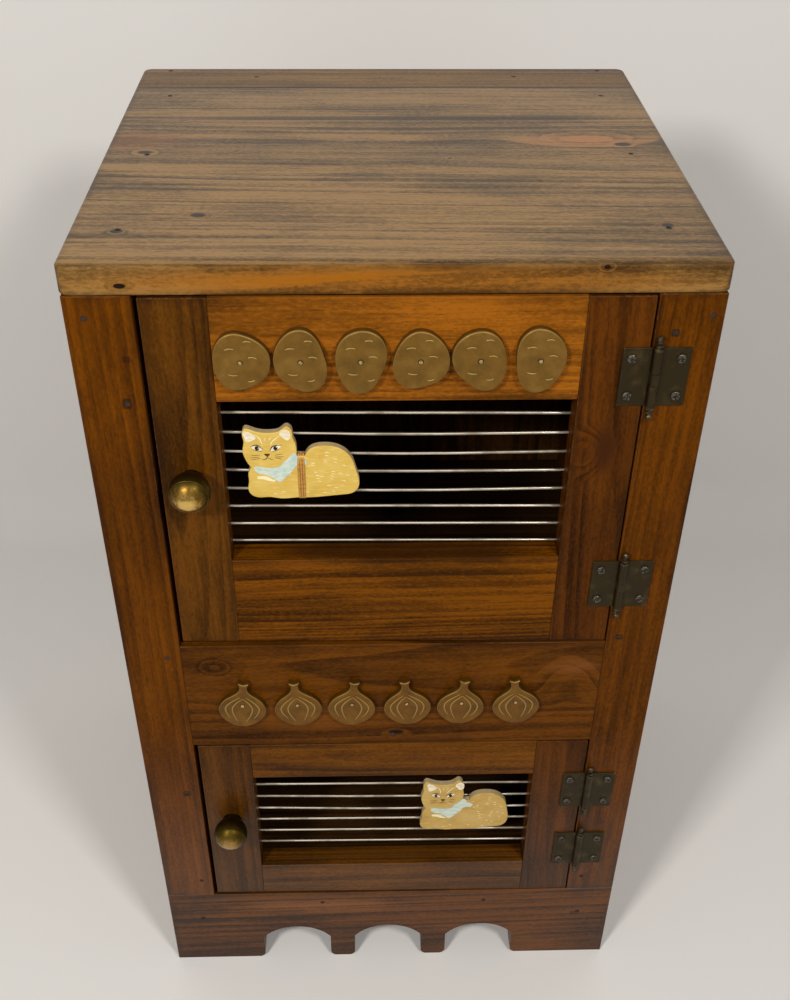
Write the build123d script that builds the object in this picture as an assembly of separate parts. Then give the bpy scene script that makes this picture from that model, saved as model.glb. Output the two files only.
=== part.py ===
from build123d import *
import os
from math import asin, atan, cos, degrees, hypot, pi, sin, sqrt, tan

# Potato and onion bin: a small pine cabinet with two inset doors, one above the other.
# Each door is a frame of four boards round a window of level steel wires.
# Millimetres. +Z is up and the doors face -Y. The origin is on the floor, under the
# middle of the box that holds the whole cabinet with its knobs.

# --- Boards -------------------------------------------------------------------------------------
board = 19.0                    # thickness of every board but those of the back
back_thickness = 12.5           # the back boards
edge_ease = 0.8                 # sanded edges
cut_past = 1.0                  # how far a cut runs on past a face

# --- Cabinet ------------------------------------------------------------------------------------
cabinet_width = 400.0           # across the face frame
cabinet_depth = 378.0           # face frame to the back of the top
base_height = 98.0              # base board
lower_opening = 199.0           # base board to middle rail
middle_rail_height = 108.0
upper_opening = 287.0           # middle rail to top
stile_width = 41.5              # face-frame stiles
top_overhang = 1.5              # top past the face frame, each side
top_strip_depth = 50.0          # narrow board at the back of the top
top_corner_radius = 7.0         # corners of the top, seen from above
top_edge_ease = 1.6             # its outer edges
top_seam_ease = 0.4             # its two edges at the seam
post_width = 19.0               # corner posts behind the face frame
post_depth = 38.0
cleat = 19.0                    # square cleats under the top
housing_depth = 6.0             # grooves in the sides that hold shelf and floor
floor_lip = 4.5                 # base board past the floor of the lower bin
back_board_count = 3
tenon_length = 10.0             # rails into stiles
tenon_thickness = 6.5
tenon_shoulder = 6.0            # rail past its tenon, above and below
tenon_root = 2.0                # tenon's start inside its rail

# --- Arches cut in the base board ---------------------------------------------------------------
arch_count = 3
arch_pitch = 84.5
arch_span = 62.0
arch_spring = 31.0              # floor to the shoulders
arch_crown = 47.5               # floor to the top of the arch
arch_offset = -2.5              # middle arch, from the cabinet's middle
foot_radius = 7.0               # lower corners between the arches

# --- Doors --------------------------------------------------------------------------------------
door_top_gap = 1.4
door_hinge_gap = 1.2
door_latch_gap = 3.3
door_bottom_gap = 1.8           # at the hinges; the bottom edge rises to the latch side
upper_door_rise = 4.0
lower_door_rise = 2.5
door_stile_width = 41.5
upper_top_rail = 73.0
upper_window = 130.5
lower_top_rail = 39.0
lower_window = 117.0

# --- Wires across the windows -------------------------------------------------------------------
wire_diameter = 2.2
wire_setback = 17.0             # front of the door to the middle of a wire
wire_socket = 9.0               # length let into the stile
wire_clearance = 0.3            # round a wire in its hole
wire_pitch = 15.3
wire_rise = 2.5                 # left end of a wire above its right end
upper_first_wire = 19.4         # window top to the first wire
lower_first_wire = 29.1
upper_sags = (0.0, 2.0, 2.5, 1.5, 2.5, 0.0, 0.0, 0.0)
lower_sags = (0.0, 2.0, 3.2, 0.0, 0.0, 0.0)
end_bend_share = 0.4            # share of the socket that a sagging wire's end bend takes
middle_bend_share = 0.45        # share of each half span that its middle bend takes

# --- Hinges -------------------------------------------------------------------------------------
leaf_height = 42.0
leaf_width = 21.5               # pin axis to the leaf's free edge
leaf_thickness = 1.5
plate_ease = 0.3                # edges of the leaves and strikes
knuckle_radius = 3.0
pin_radius = 1.5
middle_knuckle = 8.5            # height of the door leaf's knuckle
running_clearance = 0.05        # door knuckle round its pin
knuckle_gap = 0.3               # between knuckles, and between a knuckle and wood or leaf
hinge_offset = 3.5              # opening's edge to the pin axis
upper_hinge_inset = 56.0        # door's end to the middle of the hinge
lower_hinge_inset = 59.0
screw_inset_x = 6.0             # leaf's free edge to its screws
screw_inset_z = 7.5             # leaf's ends to its screws
finial_ring = 1.2               # height of each turned ring
finial_waist = 0.6              # middle ring past the pin
finial_taper = 0.3              # outer ring inside the knuckle
finial_neck = 1.8
finial_ball_radius = 2.2
finial_ball_lift = 1.75         # neck's end to the ball's middle

# --- Fasteners ----------------------------------------------------------------------------------
screw_radius = 1.4
screw_length = 14.0
screw_head_radius = 3.2
screw_head_height = 1.3
screw_head_ease = 0.9           # rounding of the head
recess_width = 0.9              # cross recess of a screw
recess_span = 3.4
recess_depth = 0.7
nail_radius = 1.1
nail_length = 35.0
back_nail_length = 28.0
nail_head_radius = 1.9
nail_head_height = 0.8
nail_set = 0.3                  # head below the wood
face_nails = {                  # outer edge to each nail, and the share of the stile above it
    "left": ((12.0, 0.025), (30.3, 0.127), (31.3, 0.502), (30.9, 0.764), (32.0, 0.963)),
    "right": ((7.0, 0.025), (28.6, 0.045), (31.9, 0.475), (30.0, 0.968)),
}
nail_end_inset = 21.0           # end of a board to its nail
top_nail_front = 52.0           # face frame to the first nail in the top
top_nail_count = 3              # along each side
strip_nail_pitch = 213.0        # between the two nails into the back cleat
base_nail_pitch = 146.0         # between the two nails into the floor
base_nail_offset = 11.0         # cabinet's middle to the middle of those two
brad_radius = 0.6
brad_head_radius = 1.3
brad_head_height = 0.5
brad_in_rail = 6.0
fastener_clearance = 0.05

# --- Knobs --------------------------------------------------------------------------------------
knob_radius = 13.7
knob_projection = 27.0
knob_middle = 14.3              # door to the widest part of the head
knob_base_radius = 8.0
knob_base_height = 1.2
knob_neck_radius = 6.5
knob_bead = 19.6                # door to the middle of the bead round the head
knob_bead_radius = 0.6
upper_knob_lift = 9.0           # knob above its door's middle
lower_knob_lift = 6.0
knob_screw_radius = 2.0
knob_screw_grip = 9.0           # thread inside the knob
knob_screw_head_radius = 4.0
knob_screw_head_depth = 2.4
knob_slot_length = 6.0
knob_slot_width = 1.0
knob_slot_depth = 1.0

# --- Magnetic catches ---------------------------------------------------------------------------
catch_width = 13.0              # out of the post
catch_depth = 12.0
catch_block = 28.0              # height of the block that holds the magnet
catch_tab = 9.0                 # screw tab above and below it
catch_tab_thickness = 2.0
catch_ease = 0.5
catch_screw_length = 12.0
strike_width = 11.0
strike_height = 32.0
strike_thickness = 1.0
strike_gap = 0.5                # strike to catch with the door shut
strike_inset = 1.0              # catch's side, or the door's edge, to the strike
prong_radius = 1.0
prong_length = 6.0
prong_inset = 5.3               # strike's end to its prong

# --- Ornaments on the rails ---------------------------------------------------------------------
ornament_thickness = 5.5
ornament_ease = 0.9
ornament_gap = 3.5              # least gap from one to the next
potato_width = 33.0
potato_height = 42.0
potato_squash = 0.07            # swelling of each potato, as shares of its size
potato_lobe = 0.05
potato_points = 14
potato_row_start = 17.7         # rail's left end to the middle of the first potato
potato_row_end = 26.8           # last potato to the rail's right end
potato_row_drop = 5.0           # row below the rail's middle
onion_width = 36.0
onion_height = 46.0
onion_root = 3.0                # half width of the root
onion_stem = 4.2                # half width of the stem where it leaves the bulb
onion_stem_top = 4.0
onion_notch = 1.6               # cut in the top of the stem
onion_bulge = ((0.62, -0.4), (1.0, -0.13), (0.7, 0.13))  # shares of half width and of height
onion_stem_base = 0.29          # share of the height
onion_row_start = 43.0
onion_row_end = 64.0
onion_row_drop = 4.0
onion_tilt = 5.0                # degrees, every second one leaning the other way

# --- Wooden cats on the wires -------------------------------------------------------------------
cat_thickness = 5.0
cat_ease = 0.7
cat_waist = (35.4, 41.0)        # flat bottom of the notch between head and back
cat_waist_height = 34.8
cat_neck = (5.0, 25.8)          # where head and chest meet on the left
cat_body = [                    # back, tail end, belly and chest, from the cat's lower left
    (47.0, 41.8), (54.5, 42.9), (62.1, 41.6), (67.9, 38.0), (72.4, 31.6), (74.6, 24.0), (76.7, 15.5),
    (76.2, 8.8), (72.6, 4.4), (66.0, 2.8), (54.0, 1.5), (41.0, 0.6), (35.0, 0.6), (23.0, 0.0), (15.5, 1.2),
    (9.0, 0.9), (3.6, 3.4), (1.8, 8.5), (2.6, 14.0), (2.6, 20.1),
]
cat_head = [                    # cheek, two ears and nape
    (0.9, 33.9), (0.0, 39.5), (1.1, 46.6), (0.4, 52.5), (2.2, 56.6), (7.0, 55.4), (13.0, 53.5), (19.5, 53.3),
    (25.0, 54.8), (30.0, 58.2), (32.9, 55.6), (33.5, 50.0), (35.0, 45.0), (35.6, 40.5),
]
magnet_width = 14.0
magnet_height = 24.0
magnet_thickness = 3.0
magnet_ease = 0.4
magnet_gap = 0.3                # magnet to the wires
magnet_inset = 8.0              # cat's waist to its magnet
upper_cat_inset = 13.0          # window's left edge to the upper cat
upper_cat_drop = 24.0           # window's top edge to the top of the upper cat
lower_cat_inset = 17.0          # window's right edge to the lower cat
lower_cat_drop = 16.9
lower_cat_stretch = 1.1         # the lower cat is cut taller,
lower_cat_lean = 0.07           # and leans to the right by this share of the height
band_width = 4.8
band_thickness = 0.9
band_gap = 0.3                  # band to the cat

# --- Places worked out from the sizes -----------------------------------------------------------
front = -(cabinet_depth - knob_projection) / 2
behind_frame = front + board
back = front + cabinet_depth
back_face = back - back_thickness
half_width = cabinet_width / 2
side_inner = half_width - board
post_inner = side_inner - post_width
half_opening = half_width - stile_width
rail_bottom = base_height + lower_opening
rail_top = rail_bottom + middle_rail_height
body_top = rail_top + upper_opening
post_back = behind_frame + post_depth
floor_top = base_height - floor_lip
floor_bottom = floor_top - board
shelf_top = rail_bottom + board
wire_y = front + wire_setback
axis_x = half_opening + hinge_offset
axis_y = front - knuckle_radius - knuckle_gap
strike_y = behind_frame + strike_thickness
catch_y = strike_y + strike_gap
door_left = -half_opening + door_latch_gap
door_right = half_opening - door_hinge_gap
window_left = door_left + door_stile_width
window_right = door_right - door_stile_width
cat_width = max(x for x, z in cat_body)
cat_height = max(z for x, z in cat_head)

parts = {}


# --- Shapes that many pieces use ----------------------------------------------------------------
def block(x, y, z):
    """Box between two corners, given as a (low, high) pair for each direction."""
    size = [abs(high - low) for low, high in (x, y, z)]
    middle = [(low + high) / 2 for low, high in (x, y, z)]
    return Pos(*middle) * Box(*size)


def plank(x, y, z, ease=edge_ease):
    """Board with every edge sanded round."""
    solid = block(x, y, z)
    return fillet(solid.edges(), ease)


def cut_board(outline, y, ease=edge_ease):
    """Board sawn to an outline of (x, z) points, with every edge sanded round."""
    face = make_face(Polyline(*[(px, 0, pz) for px, pz in outline], close=True))
    solid = Pos(0, y[0], 0) * extrude(face, amount=y[1] - y[0], dir=(0, 1, 0))
    return fillet(solid.edges(), ease)


def shaft(origin, direction, steps, clearance=0.0):
    """Round stepped shaft. Each step is (radius, start, end), measured along direction."""
    plane = Plane(origin=origin, z_dir=direction)
    solid = None
    for radius, start, end in steps:
        length = end - start
        step = plane * Pos(0, 0, start + length / 2) * Cylinder(radius + clearance, length)
        solid = step if solid is None else solid + step
    return solid


def group(pieces):
    """Several separate solids kept as one node."""
    return Compound([solid for piece in pieces for solid in piece.solids()])


def mirrored(low, high, side):
    """A (low, high) pair of distances from the middle, on side -1 or 1."""
    return sorted((side * low, side * high))


def spaced(low, high, count):
    """Evenly spaced values from low to high."""
    return [low + (high - low) * step / (count - 1) for step in range(count)]


sides = {"left": -1, "right": 1}


# --- Top: a wide board, with a narrow strip behind it -------------------------------------------
def top_slab(y, outer_y):
    """One board of the top, rounded at the two corners of its outer edge."""
    reach = half_width + top_overhang
    seam_at = y[0] + y[1] - outer_y

    def from_seam(edge):
        return abs(edge.center().Y - seam_at)

    slab = block((-reach, reach), y, (body_top, body_top + board))
    corners = slab.edges().filter_by(Axis.Z).filter_by(lambda edge: from_seam(edge) > top_edge_ease)
    slab = fillet(corners, top_corner_radius)
    seam = slab.edges().filter_by(Axis.X).filter_by(lambda edge: from_seam(edge) < top_edge_ease)
    slab = fillet(seam, top_seam_ease)
    rim = [
        edge for edge in slab.edges()
        if from_seam(edge) > top_edge_ease and abs(edge.tangent_at(0.5).Z) < 0.5
    ]
    return fillet(rim, top_edge_ease)


seam_y = back - top_strip_depth
parts["top_front_board"] = top_slab((front, seam_y), front)
parts["top_back_strip"] = top_slab((seam_y, back), back)


# --- Sides, corner posts and cleats -------------------------------------------------------------
cleat_z = (body_top - cleat, body_top)
for name, side in sides.items():
    panel = plank(mirrored(side_inner, half_width, side), (behind_frame, back_face), (0, body_top))
    for low, high in ((rail_bottom, shelf_top), (floor_bottom, floor_top)):
        groove = mirrored(side_inner - cut_past, side_inner + housing_depth, side)
        panel -= block(groove, (post_back, back_face + cut_past), (low, high))
    parts[f"side_panel_{name}"] = panel
    across = mirrored(post_inner, side_inner, side)
    parts[f"corner_post_{name}"] = plank(across, (behind_frame, post_back), (0, body_top))
    parts[f"top_cleat_{name}"] = plank(across, (post_back, back_face - cleat), cleat_z)
parts["top_cleat_back"] = plank((-side_inner, side_inner), (back_face - cleat, back_face), cleat_z)


# --- Shelf between the bins, and floor of the lower bin -----------------------------------------
def housed_board(z):
    """Level board housed in both sides and notched round the corner posts."""
    reach = side_inner + housing_depth
    solid = plank((-reach, reach), (behind_frame, back_face), z)
    through = (z[0] - cut_past, z[1] + cut_past)
    for side in sides.values():
        notch = mirrored(post_inner, reach + cut_past, side)
        solid -= block(notch, (behind_frame - cut_past, post_back), through)
    return solid


parts["divider_shelf"] = housed_board((rail_bottom, shelf_top))
parts["floor_panel"] = housed_board((floor_bottom, floor_top))

# --- Back: upright boards side by side ----------------------------------------------------------
back_board_width = cabinet_width / back_board_count
for number in range(back_board_count):
    left = -half_width + number * back_board_width
    across = (left, left + back_board_width)
    parts[f"back_board_{number + 1}"] = plank(across, (back_face, back), (floor_bottom, body_top))


# --- Rails: a board with a tenon at each end ----------------------------------------------------
def tenon_block(x, z):
    """Tenon, or the mortise that holds it, midway through the frame's thickness."""
    middle = front + board / 2
    depth = (middle - tenon_thickness / 2, middle + tenon_thickness / 2)
    return block(x, depth, (z[0] + tenon_shoulder, z[1] - tenon_shoulder))


def tenons(left, right, z, root=tenon_root):
    """Both tenons of a rail between two stiles, each starting a little inside the rail."""
    return [
        tenon_block((left - tenon_length, left + root), z),
        tenon_block((right - root, right + tenon_length), z),
    ]


# --- Face frame ---------------------------------------------------------------------------------
frame_y = (front, behind_frame)
middle_rail_z = (rail_bottom, rail_top)
middle_rail_tenons = tenons(-half_opening, half_opening, middle_rail_z)
parts["middle_rail"] = plank((-half_opening, half_opening), frame_y, middle_rail_z) + middle_rail_tenons
for name, side in sides.items():
    across = mirrored(half_opening, half_width, side)
    stile = plank(across, frame_y, (base_height, body_top))
    parts[f"face_stile_{name}"] = stile - tenons(-half_opening, half_opening, middle_rail_z, root=0)


# --- Base board, with a row of arches -----------------------------------------------------------
def arch_cutter(middle):
    """Arch on straight sides, which turn outwards to the floor in a round corner."""
    half, below = arch_span / 2, -cut_past
    bend = foot_radius * (1 - cos(pi / 4))
    outline = []
    for side in (-1, 1):
        jamb = middle + side * half
        foot = jamb + side * foot_radius
        outline += [
            Line((jamb, 0, arch_spring), (jamb, 0, foot_radius)),
            ThreePointArc((jamb, 0, foot_radius), (jamb + side * bend, 0, bend), (foot, 0, 0)),
            Line((foot, 0, 0), (foot, 0, below)),
        ]
    reach = half + foot_radius
    shoulders = [(middle - half, 0, arch_spring), (middle + half, 0, arch_spring)]
    outline += [
        ThreePointArc(shoulders[0], (middle, 0, arch_crown), shoulders[1]),
        Line((middle - reach, 0, below), (middle + reach, 0, below)),
    ]
    face = make_face(Curve() + outline)
    return Pos(0, front - cut_past, 0) * extrude(face, amount=board + 2 * cut_past, dir=(0, 1, 0))


base_board = plank((-half_width, half_width), frame_y, (0, base_height))
for number in range(arch_count):
    base_board -= arch_cutter(arch_offset + (number - (arch_count - 1) / 2) * arch_pitch)
parts["base_board"] = base_board


# --- Doors --------------------------------------------------------------------------------------
def wire(z, sag):
    """Wire let into a hole at each end, running a little uphill and bowed down by its sag."""
    half_span = (window_right - window_left) / 2
    end = half_span + wire_socket
    if sag == 0:
        path = Line((-end, 0, 0), (end, 0, 0))
    else:
        slope = atan(sag / half_span)
        end_radius = end_bend_share * wire_socket / tan(slope / 2)
        middle_radius = middle_bend_share * half_span / tan(slope)
        path = FilletPolyline(
            (-end, 0, 0), (-half_span, 0, 0), (0, 0, -sag), (half_span, 0, 0), (end, 0, 0),
            radius=[end_radius, middle_radius, end_radius],
        )
    section = Plane(origin=path @ 0, z_dir=path % 0) * Circle(wire_diameter / 2)
    uphill = degrees(atan(wire_rise / (2 * half_span)))
    return Pos((window_left + window_right) / 2, wire_y, z) * Rot(0, uphill, 0) * sweep(section, path)


def wire_holes(z):
    """Blind holes for one wire in the inner edges of both stiles."""
    steps = [(wire_diameter / 2 + wire_clearance, -cut_past, wire_socket + wire_clearance)]
    return [
        shaft((window_left, wire_y, z + wire_rise / 2), (-1, 0, 0), steps),
        shaft((window_right, wire_y, z - wire_rise / 2), (1, 0, 0), steps),
    ]


def door(name, opening, rise, top_rail, window, first_wire, sags):
    """Frame of four boards with wires across its window; the bottom edge runs out of level."""
    top = opening[1] - door_top_gap
    low_right = opening[0] + door_bottom_gap
    window_top = top - top_rail
    window_bottom = window_top - window

    def bottom_at(x):
        return low_right + rise * (door_right - x) / (door_right - door_left)

    top_z = (window_top, top)
    bottom_z = (bottom_at(window_left), window_bottom)
    tops = tenons(window_left, window_right, top_z)
    bottoms = tenons(window_left, window_right, bottom_z)
    parts[f"{name}_top_rail"] = plank((window_left, window_right), frame_y, top_z) + tops
    corners = [
        (window_left, bottom_at(window_left)), (window_right, bottom_at(window_right)),
        (window_right, window_bottom), (window_left, window_bottom),
    ]
    parts[f"{name}_bottom_rail"] = cut_board(corners, frame_y) + bottoms
    wires_z = [window_top - first_wire - number * wire_pitch for number in range(len(sags))]
    cuts = [mortise for z in (top_z, bottom_z) for mortise in tenons(window_left, window_right, z, 0)]
    for z in wires_z:
        cuts += wire_holes(z)
    stiles = {"left": (door_left, window_left), "right": (window_right, door_right)}
    for side, (low, high) in stiles.items():
        corners = [(low, bottom_at(low)), (high, bottom_at(high)), (high, top), (low, top)]
        parts[f"{name}_stile_{side}"] = cut_board(corners, frame_y) - cuts
    parts[f"{name}_wires"] = group([wire(z, sag) for z, sag in zip(wires_z, sags)])
    return {"top": top, "bottom": low_right, "window_top": window_top, "window_bottom": window_bottom}


upper = door("upper", (rail_top, body_top), upper_door_rise, upper_top_rail, upper_window,
             upper_first_wire, upper_sags)
lower = door("lower", (base_height, rail_bottom), lower_door_rise, lower_top_rail, lower_window,
             lower_first_wire, lower_sags)
doors = {"upper": upper, "lower": lower}


# --- Hinges -------------------------------------------------------------------------------------
def knuckle(z):
    """Rolled end of a leaf: a tube round the pin."""
    origin = (axis_x, axis_y, 0)
    outer = shaft(origin, (0, 0, 1), [(knuckle_radius, z[0], z[1])])
    bore = [(pin_radius + running_clearance, z[0] - cut_past, z[1] + cut_past)]
    return outer - shaft(origin, (0, 0, 1), bore)


def leaf(side, middle, knuckles, others):
    """Flat leaf on the wood, with its knuckles, cut back round the other leaf's knuckles."""
    z = (middle - leaf_height / 2, middle + leaf_height / 2)
    across = sorted((axis_x, axis_x + side * leaf_width))
    plate = plank(across, (front - leaf_thickness, front), z, ease=plate_ease)
    notch = sorted((axis_x - side * cut_past, axis_x + side * (knuckle_radius + knuckle_gap)))
    through = (front - leaf_thickness - cut_past, front + cut_past)
    for low, high in others:
        plate -= block(notch, through, (low - knuckle_gap, high + knuckle_gap))
    pin_hole = [(pin_radius + running_clearance, z[0] - cut_past, z[1] + cut_past)]
    for span in knuckles:
        plate += knuckle(span)
    return plate - shaft((axis_x, axis_y, 0), (0, 0, 1), pin_hole)


def hinge_pin(middle):
    """Pin with a turned finial at each end: two rings, a neck and a ball."""
    half = leaf_height / 2
    pin = shaft((axis_x, axis_y, middle), (0, 0, 1), [(pin_radius, -half, half)])
    for way in (-1, 1):
        rings = [
            (knuckle_radius, half, half + finial_ring),
            (pin_radius + finial_waist, half + finial_ring, half + 2 * finial_ring),
            (knuckle_radius - finial_taper, half + 2 * finial_ring, half + 3 * finial_ring),
            (pin_radius, half + 3 * finial_ring, half + 3 * finial_ring + finial_neck),
        ]
        pin += shaft((axis_x, axis_y, middle), (0, 0, way), rings)
        ball_z = half + 3 * finial_ring + finial_neck + finial_ball_lift
        pin += Pos(axis_x, axis_y, middle + way * ball_z) * Sphere(finial_ball_radius)
    return pin


def screw(origin, direction, length):
    """Round-head wood screw with a cross recess, its head on the surface at origin."""
    solid = shaft(origin, direction, [
        (screw_head_radius, -screw_head_height, 0), (screw_radius, 0, length),
    ])
    plane = Plane(origin=origin, z_dir=direction)
    circles = solid.edges().filter_by(GeomType.CIRCLE)
    rim = circles.sort_by(lambda edge: plane.to_local_coords(edge.center()).Z)[0]
    solid = fillet(rim, screw_head_ease)
    for wide, high in ((recess_span, recess_width), (recess_width, recess_span)):
        slot = Pos(0, 0, -screw_head_height + recess_depth / 2) * Box(wide, high, recess_depth)
        solid -= plane * slot
    return solid


def pilot(origin, direction, length):
    """Hole for a screw, through the leaf and into the wood."""
    return shaft(origin, direction, [(screw_radius, -leaf_thickness, length)], fastener_clearance)


frame_screws = []
pins = []
hinge_number = 0
for name, inset in (("upper", upper_hinge_inset), ("lower", lower_hinge_inset)):
    door_screws = []
    for middle in (doors[name]["top"] - inset, doors[name]["bottom"] + inset):
        hinge_number += 1
        split = (middle - middle_knuckle / 2, middle + middle_knuckle / 2)
        ends = (middle - leaf_height / 2, middle + leaf_height / 2)
        outer = [(ends[0], split[0] - knuckle_gap / 2), (split[1] + knuckle_gap / 2, ends[1])]
        inner = [(split[0] + knuckle_gap / 2, split[1] - knuckle_gap / 2)]
        leaves = {
            "frame": leaf(1, middle, outer, inner),
            "door": leaf(-1, middle, inner, outer),
        }
        wood = {"frame": "face_stile_right", "door": f"{name}_stile_right"}
        screws = {"frame": frame_screws, "door": door_screws}
        for part_of, side in (("frame", 1), ("door", -1)):
            screw_x = axis_x + side * (leaf_width - screw_inset_x)
            for end, way in zip(ends, (1, -1)):
                face = (screw_x, front - leaf_thickness, end + way * screw_inset_z)
                screws[part_of].append(screw(face, (0, 1, 0), screw_length))
                hole = pilot(face, (0, 1, 0), screw_length + fastener_clearance)
                leaves[part_of] -= hole
                parts[wood[part_of]] -= hole
            parts[f"hinge_{hinge_number}_{part_of}_leaf"] = leaves[part_of]
        pins.append(hinge_pin(middle))
    parts[f"{name}_leaf_screws"] = group(door_screws)
parts["frame_leaf_screws"] = group(frame_screws)
parts["hinge_pins"] = group(pins)


# --- Knobs --------------------------------------------------------------------------------------
def bowed(start, end, bow):
    """Arc in the XZ plane from start to end, bowed to its right by bow."""
    (x0, z0), (x1, z1) = start, end
    chord = hypot(x1 - x0, z1 - z0)
    middle = ((x0 + x1) / 2 + bow * (z1 - z0) / chord, 0, (z0 + z1) / 2 - bow * (x1 - x0) / chord)
    return ThreePointArc((x0, 0, z0), middle, (x1, 0, z1))


def knob_width(height):
    """Radius of the knob's round head at a height from the door."""
    return sqrt(knob_radius**2 - (height - knob_middle) ** 2)


def knob(x, z):
    """Turned brass knob: a base, a short neck, and a round head with a bead in front of its middle."""
    neck_top = knob_middle - sqrt(knob_radius**2 - knob_neck_radius**2)
    bead_low, bead_high = knob_bead - knob_bead_radius, knob_bead + knob_bead_radius
    back, cap = (knob_width(bead_low), 0, bead_low), (knob_width(bead_high), 0, bead_high)
    cap_rise = knob_projection - bead_high
    cap_radius = (cap[0] ** 2 + cap_rise**2) / (2 * cap_rise)
    half_turn = asin(cap[0] / cap_radius) / 2
    outline = [
        Polyline((0, 0, 0), (knob_base_radius, 0, 0), (knob_base_radius, 0, knob_base_height),
                 (knob_neck_radius, 0, knob_base_height), (knob_neck_radius, 0, neck_top)),
        ThreePointArc((knob_neck_radius, 0, neck_top), (knob_radius, 0, knob_middle), back),
        ThreePointArc(back, (knob_width(knob_bead) + knob_bead_radius, 0, knob_bead), cap),
        bowed((cap[0], bead_high), (0, knob_projection), cap_radius * (1 - cos(half_turn))),
        Line((0, 0, knob_projection), (0, 0, 0)),
    ]
    solid = revolve(make_face(Curve() + outline), Axis.Z)
    thread = knob_screw_grip + fastener_clearance
    solid -= shaft((0, 0, 0), (0, 0, 1), [(knob_screw_radius + fastener_clearance, -cut_past, thread)])
    return Pos(x, front, z) * Rot(90, 0, 0) * solid


def knob_screw(x, z, clearance=0.0):
    """Machine screw from the back of the door, its flat head let in."""
    head = knob_screw_head_depth
    steps = [
        (knob_screw_head_radius, 0, head),
        (knob_screw_radius, head, board + knob_screw_grip),
    ]
    return shaft((x, behind_frame, z), (0, -1, 0), steps, clearance)


knob_x = door_left + door_stile_width / 2
for name, lift in (("upper", upper_knob_lift), ("lower", lower_knob_lift)):
    knob_z = (doors[name]["top"] + doors[name]["bottom"]) / 2 + lift
    parts[f"{name}_knob"] = knob(knob_x, knob_z)
    slot = Box(knob_slot_length, 2 * knob_slot_depth, knob_slot_width)
    parts[f"{name}_knob_screw"] = knob_screw(knob_x, knob_z) - Pos(knob_x, behind_frame, knob_z) * slot
    parts[f"{name}_stile_left"] -= knob_screw(knob_x, knob_z, fastener_clearance)


# --- Magnetic catches on the left post, and their strikes on the doors --------------------------
def catch(z):
    """Block that holds the magnet, with a screw tab above and below."""
    face = -post_inner
    half = catch_block / 2
    y = (catch_y, catch_y + catch_depth)
    body = plank((face, face + catch_width), y, (z - half, z + half), ease=catch_ease)
    tab = block((face, face + catch_tab_thickness), y, (z - half - catch_tab, z + half + catch_tab))
    return body + tab


catch_screws = []
for name, place in doors.items():
    catch_z = (place["top"] + place["bottom"]) / 2
    holder = catch(catch_z)
    for way in (-1, 1):
        head = (-post_inner + catch_tab_thickness, catch_y + catch_depth / 2,
                catch_z + way * (catch_block + catch_tab) / 2)
        catch_screws.append(screw(head, (-1, 0, 0), catch_screw_length))
        deep = catch_screw_length + fastener_clearance
        hole = shaft(head, (-1, 0, 0), [(screw_radius, -cut_past, deep)], fastener_clearance)
        holder -= hole
        parts["corner_post_left"] -= hole
    parts[f"{name}_catch"] = holder
    strike_right = -post_inner + catch_width - strike_inset
    strike_left = max(strike_right - strike_width, door_left + strike_inset)
    strike = plank((strike_left, strike_left + strike_width), (behind_frame, strike_y),
                   (catch_z - strike_height / 2, catch_z + strike_height / 2), ease=plate_ease)
    for way in (-1, 1):
        foot = (strike_left + strike_width / 2, behind_frame + strike_thickness / 2,
                catch_z + way * (strike_height / 2 - prong_inset))
        reach = strike_thickness / 2 + prong_length
        prong, socket = [(prong_radius, 0, reach)], [(prong_radius, 0, reach + fastener_clearance)]
        strike += shaft(foot, (0, -1, 0), prong)
        parts[f"{name}_stile_left"] -= shaft(foot, (0, -1, 0), socket, fastener_clearance)
    parts[f"{name}_strike"] = strike
parts["catch_screws"] = group(catch_screws)


# --- Painted ornaments, each held by a brad -----------------------------------------------------
def potato(number):
    """Uneven oval, no two alike."""
    points = []
    for step in range(potato_points):
        turn = 2 * pi * step / potato_points
        swell = 1 + potato_squash * cos(2 * turn + 1.9 * number) + potato_lobe * cos(3 * turn + 2.4 * number)
        points.append((potato_width / 2 * swell * cos(turn), 0, potato_height / 2 * swell * sin(turn)))
    return make_face(Spline(*points, periodic=True))


def onion(number):
    """Bulb with a notched stem above and a flat root below."""
    half, tall = onion_width / 2, onion_height
    edge = []
    for side in (1, -1):
        bulge = [(side * half * across, 0, tall * up) for across, up in onion_bulge]
        stem = [(side * onion_stem, 0, tall * onion_stem_base), (side * onion_stem_top, 0, tall / 2)]
        edge.append(Spline((side * onion_root, 0, -tall / 2), *bulge, *stem))
    edge.append(Line((onion_root, 0, -tall / 2), (-onion_root, 0, -tall / 2)))
    stem_cut = [(onion_stem_top, 0, tall / 2), (0, 0, tall / 2 - onion_notch), (-onion_stem_top, 0, tall / 2)]
    edge.append(Polyline(*stem_cut))
    tilt = onion_tilt * (-1) ** number
    return Rot(0, tilt, 0) * make_face(Curve() + edge)


def ornament(face, x, z):
    """Wooden cut-out on a rail, with its front edge rounded."""
    solid = extrude(face, amount=ornament_thickness, dir=(0, -1, 0))
    rim = solid.faces().sort_by(Axis.Y)[0].edges()
    return Pos(x, front, z) * fillet(rim, ornament_ease)


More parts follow.
